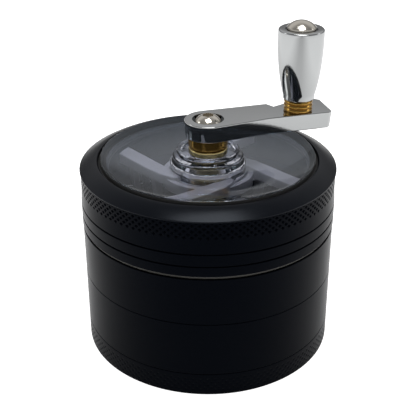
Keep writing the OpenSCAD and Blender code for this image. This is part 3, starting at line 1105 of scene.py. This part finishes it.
class GRINDER_OT_knob(bpy.types.Operator):
    """Turns the knob and the ridged collar under it"""

    bl_idname = "grinder.knob"
    bl_label = "Knob"

    def execute(self, context):
        low, high = foot("knob_handle"), top("knob_handle")
        wide = (corners("knob_handle")[1].x - corners("knob_handle")[0].x) / 2
        neck, bore, cup, sink = 3.9, 3, 3.85, 1
        neck_z, top_z = low + 1, high - 0.45
        steps = 24
        outline = [(bore, low), (neck - 0.35, low)] + arc((neck - 0.35, low + 0.35), 0.35, -70, 0, 4)
        for i in range(steps + 1):
            t = i / steps
            outline.append((neck + (wide - neck) * (1 - (1 - t) ** 2.5), neck_z + (top_z - neck_z) * t))
        outline += arc((wide - 0.45, high - 0.45), 0.45, 15, 85, 5)
        outline += [(cup + 0.15, high), (cup, high - 0.15), (cup, high - sink), (bore, high - sink)]
        grip = move(lathe("knob_grip", outline, 96), knob_axis())
        polish(grip, 30)
        hand_over(grip, "knob", "chrome", chrome(), "knob_handle")
        dress("knob_sleeve", nylon())
        base, upper = foot("knob_collar"), top("knob_collar")
        r, ridges = 3.55, 3
        step = (upper - base) / ridges
        side = []
        for i in range(ridges):
            side += arc((r - 0.32, base + (i + 0.5) * step), 0.32, -62, 62, 6)
            if i < ridges - 1:
                side.append((r - 0.3, base + (i + 1) * step))
        outline = [(2, base), (r - 0.3, base)] + side + [(r - 0.3, upper), (2, upper)]
        collar = move(lathe("knob_ferrule", outline, 72), knob_axis())
        polish(collar, 40)
        hand_over(collar, "crank", "brass", brass(), "knob_collar")
        return {"FINISHED"}


class GRINDER_OT_rotor(bpy.types.Operator):
    """Casts the rotor's straight arms, sets their teeth and turns the hub"""

    bl_idname = "grinder.rotor"
    bl_label = "Rotor"

    arms = 4
    arm_w = 4.5
    arm_t = 3.0
    offset = 10.05
    tip_r = 24.4
    lead = math.radians(130.2)

    def bearing(self, radius):
        """Angle at which an arm's middle line is at a radius."""
        return self.lead + math.asin(self.offset / radius)

    def arm(self, high):
        """A straight arm that leaves the hub like a tangent and ends on the circle of the tips."""
        near, far = self.offset - self.arm_w / 2, self.offset + self.arm_w / 2
        outline = [(0, near)]
        for i in range(7):
            y = near + self.arm_w * i / 6
            outline.append((math.sqrt(self.tip_r**2 - y * y), y))
        outline += [(9.3, far - 0.2), (4.6, far - 0.55), (1.4, far - 1.6), (0, far - 2.1)]
        blade = prism("rotor_arm", outline, high - self.arm_t, high)
        soften(blade, 0.35 * MM, segments=3, angle=35)
        polish(blade, 40)
        return turn(blade, self.lead)

    def execute(self, context):
        hub_z, high, low = top("rotor_washer"), top("rotor"), foot("rotor_teeth")
        hub_top = foot("thrust_washer")
        floor_z = high - self.arm_t
        hub = lathe("rotor_hub", [
            (2.5, hub_z), (10.9, hub_z), (11.4, hub_z + 0.5), (11.4, floor_z + 2), (9.9, floor_z + 2),
            (9.8, floor_z), (9, floor_z), (8.8, hub_top), (2.5, hub_top),
        ], 96)
        soften(hub, 0.2 * MM)
        polish(hub)
        parts = [hub]
        first = self.arm(high)
        pegs = [self.placed_tooth(radius, low, floor_z + 0.3) for radius in (13.1, 20.4)]
        for i in range(self.arms):
            for part in (first, *pegs):
                parts.append(copy_turned(part, i * math.tau / self.arms))
        for part in (first, *pegs):
            bpy.data.objects.remove(part)
        rotor = join("rotor_casting", parts)
        hand_over(rotor, "crank", "rotor_alloy", alloy(), "rotor", "rotor_teeth")
        dress("spindle", steel())
        dress("thrust_washer", nylon())
        return {"FINISHED"}

    def placed_tooth(self, radius, low, high):
        return turn(tooth(radius, low, high, up=False), self.bearing(radius))


OPERATORS = (
    GRINDER_OT_stage, GRINDER_OT_tray, GRINDER_OT_sifter, GRINDER_OT_grinding, GRINDER_OT_lid,
    GRINDER_OT_window, GRINDER_OT_arm, GRINDER_OT_screws, GRINDER_OT_knob, GRINDER_OT_rotor,
)


class GRINDER_PT_panel(bpy.types.Panel):
    """Lists the grinder's pieces"""

    bl_idname = "GRINDER_PT_panel"
    bl_label = "Herb Grinder"
    bl_space_type = "VIEW_3D"
    bl_region_type = "UI"
    bl_category = "Grinder"

    def draw(self, context):
        for operator in OPERATORS:
            self.layout.operator(operator.bl_idname)
        for group in ("grinder_sizes", "grinder_colours", "grinder_stage"):
            settings = getattr(context.scene, group)
            box = self.layout.box()
            for key in settings.__annotations__:
                box.prop(settings, key)


GROUPS = {"grinder_sizes": GrinderSizes, "grinder_colours": GrinderColours, "grinder_stage": GrinderStage}


def register():
    for group in GROUPS.values():
        bpy.utils.register_class(group)
    for name, group in GROUPS.items():
        setattr(bpy.types.Scene, name, bpy.props.PointerProperty(type=group))
    for operator in (*OPERATORS, GRINDER_PT_panel):
        bpy.utils.register_class(operator)


def unregister():
    for operator in (*OPERATORS, GRINDER_PT_panel):
        bpy.utils.unregister_class(operator)
    for name, group in GROUPS.items():
        delattr(bpy.types.Scene, name)
        bpy.utils.unregister_class(group)


def main():
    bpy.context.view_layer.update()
    register()
    for operator in OPERATORS:
        group, call = operator.bl_idname.split(".")
        getattr(getattr(bpy.ops, group), call)()


if __name__ == "__main__":
    main()
